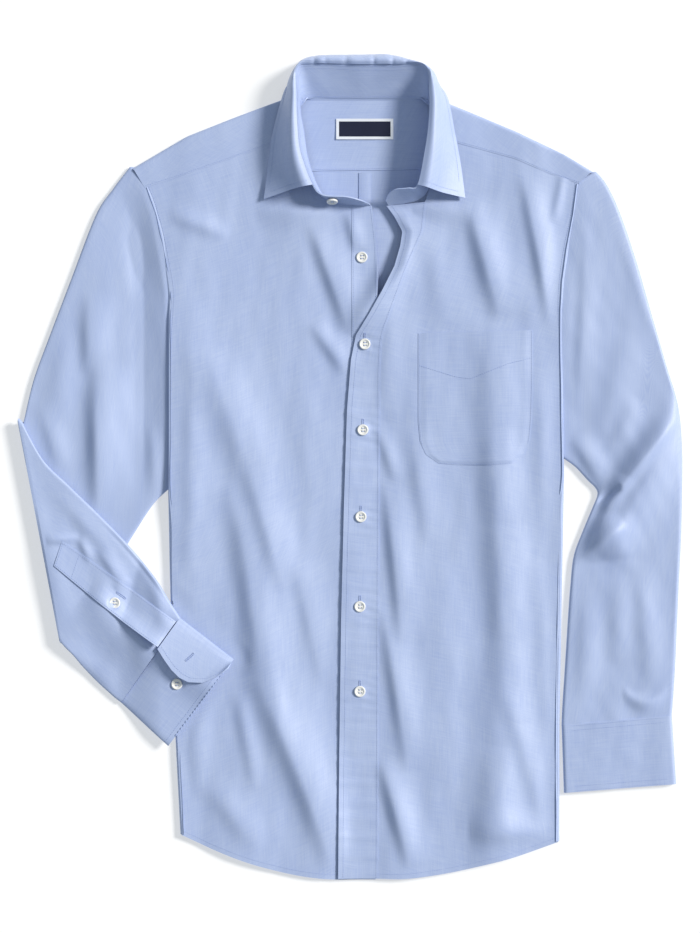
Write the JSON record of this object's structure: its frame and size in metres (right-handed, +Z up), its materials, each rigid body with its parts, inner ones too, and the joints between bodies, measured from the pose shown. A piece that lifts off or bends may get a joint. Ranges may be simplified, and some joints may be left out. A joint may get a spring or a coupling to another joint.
{
  "type": "long sleeve dress shirt",
  "caption": "Long sleeve button-front dress shirt with spread collar and chest pocket, laid flat with one sleeve folded over.",
  "frame": {"origin": "on the surface that the shirt lies on, under the middle of its box", "axes": "+Z up from the surface, +Y towards the collar, +X towards the wearer's left sleeve"},
  "size_m": [0.6736, 0.8364, 0.0342],
  "materials": {
    "shirting": "fine pinpoint weave, soft sheen",
    "button": "pearl white",
    "label": "woven satin, bare"
  },
  "bodies": {
    "root": {"front_right": "shirting", "front_left": "shirting", "button_band": "shirting", "front_placket": "shirting", "pocket": "shirting", "back": "shirting", "back_pleat": "shirting", "yoke": "shirting", "collar_stand": "shirting", "collar_fall": "shirting", "sleeve_left": "shirting", "sleeve_right": "shirting", "cuff_left": "shirting", "cuff_right": "shirting", "gauntlet": "shirting", "neck_label": "label", "button_front_1": "button", "button_front_2": "button", "button_front_3": "button", "button_front_4": "button", "button_front_5": "button", "button_front_6": "button", "button_cuff": "button", "button_gauntlet": "button", "button_stand": "button"}
  },
  "joints": []
}
